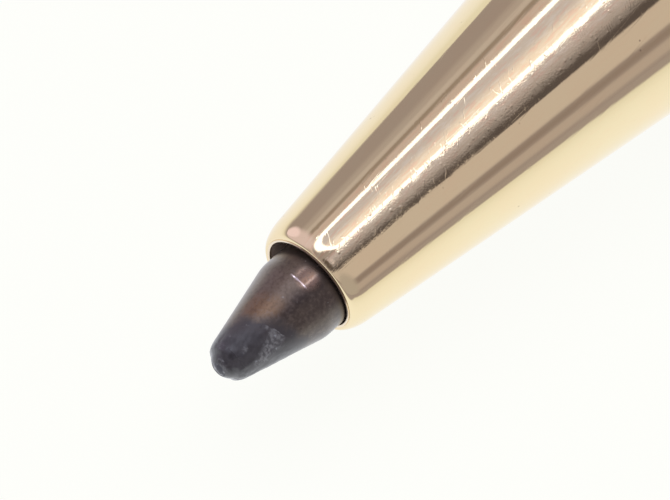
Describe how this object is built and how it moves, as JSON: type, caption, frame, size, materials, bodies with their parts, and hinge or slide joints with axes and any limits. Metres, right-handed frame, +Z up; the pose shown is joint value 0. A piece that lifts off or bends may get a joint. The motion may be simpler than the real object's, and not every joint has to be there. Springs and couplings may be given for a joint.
{
  "type": "twist-action ballpoint pen",
  "caption": "Slim gold-filled metal ballpoint pen lying on its side with its point out; turning the upper half draws the refill in through a helical cam.",
  "frame": {"origin": "on the table under the middle of the box round the lying pen", "axes": "+X along the pen from its point to its finial, +Z up from the table, -Y the side the clip is on"},
  "size_m": [0.1352, 0.0099, 0.0082],
  "materials": {
    "gold_filled": "polished, finely scratched",
    "brass": "turned",
    "spring_steel": "plain",
    "tarnished_point": "tarnished, inky",
    "ball_carbide": "polished",
    "black_plastic": "moulded",
    "black_rubber": "matt",
    "ink_paste": "wet paste"
  },
  "bodies": {
    "lower_half": {"lower_barrel": "gold_filled", "nose_bushing": "brass", "barrel_coupling": "brass", "centre_ring": "gold_filled", "guide_sleeve": "brass", "end_plug": "brass", "friction_washer": "spring_steel", "snap_ring": "spring_steel", "friction_o_ring": "black_rubber"},
    "upper_half": {"upper_barrel": "gold_filled", "cam_sleeve": "brass", "top_bushing": "brass", "clip_band": "gold_filled", "finial": "gold_filled"},
    "refill": {"carrier": "black_plastic", "carrier_pin": "spring_steel", "refill_point": "tarnished_point", "refill_tube": "brass", "ink_column": "ink_paste", "refill_plug": "black_plastic"},
    "ball": {"refill_ball": "ball_carbide"},
    "clip": {"clip": "gold_filled"}
  },
  "joints": [
    {"name": "cap_twist", "type": "hinge", "parent": "lower_half", "child": "upper_half", "pos_m": [0, 0.00085, 0.0041], "axis": [1, 0, 0], "range_deg": [0, 180]},
    {"name": "refill_slide", "type": "slide", "parent": "lower_half", "child": "refill", "axis": [1, 0, 0], "range_m": [0, 0.0055]},
    {"name": "ball_roll", "type": "hinge", "parent": "refill", "child": "ball", "pos_m": [-0.0671, 0.00076, 0.00406], "axis": [0, 1, 0], "continuous": true},
    {"name": "clip_flex", "type": "hinge", "parent": "upper_half", "child": "clip", "pos_m": [0.0622, -0.00226, 0.0024], "axis": [0, -0.48, 0.8773], "range_deg": [0, 5], "stiffness_Nm_per_rad": 4}
  ],
  "couplings": [
    {"joint": "refill_slide", "follows": "cap_twist", "m_per_rad": 0.0017507}
  ]
}
